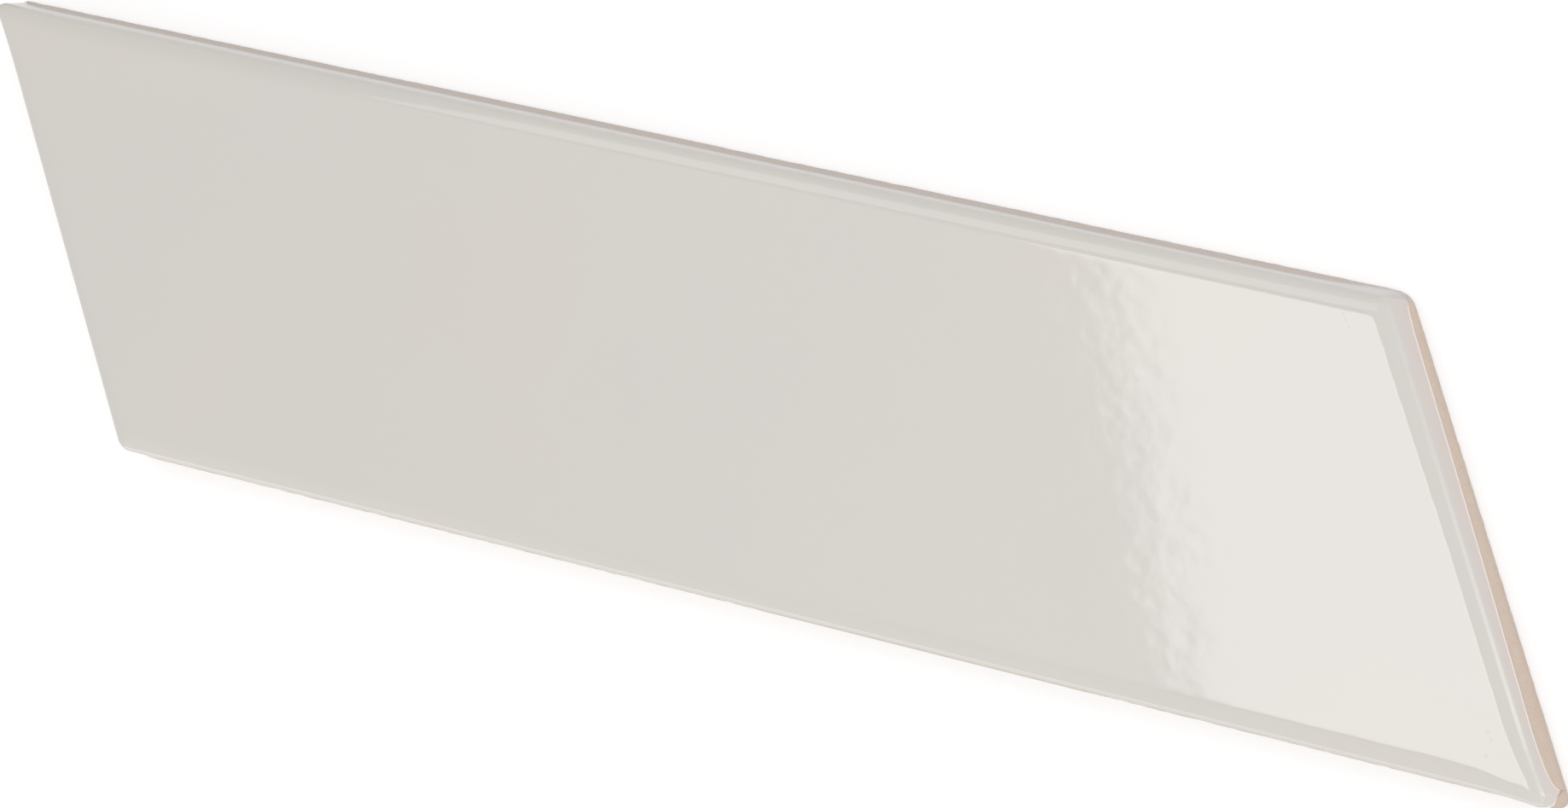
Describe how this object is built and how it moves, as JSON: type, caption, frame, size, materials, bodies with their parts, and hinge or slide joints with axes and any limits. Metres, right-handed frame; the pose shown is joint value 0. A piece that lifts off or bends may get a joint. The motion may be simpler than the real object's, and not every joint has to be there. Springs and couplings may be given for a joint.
{
  "type": "chevron wall tile",
  "caption": "Flat ceramic wall tile with a parallelogram plan and slanted ends, a glossy glazed face with a soft pressed edge, bare leaning sides and a shallow ribbed back.",
  "frame": {"origin": "middle of the bonding face, on the floor that the tile lies on", "axes": "+X along the two long edges, +Z out of the glazed face, +Y across the tile; the acute corners are at -X +Y and at +X -Y"},
  "size_m": [0.2142, 0.052, 0.0075],
  "materials": {
    "glazed_body": "warm light grey gloss glaze on the face and upper sides, bare pinkish buff fired clay below"
  },
  "bodies": {
    "root": {"chevron_tile": "glazed_body"}
  },
  "joints": []
}
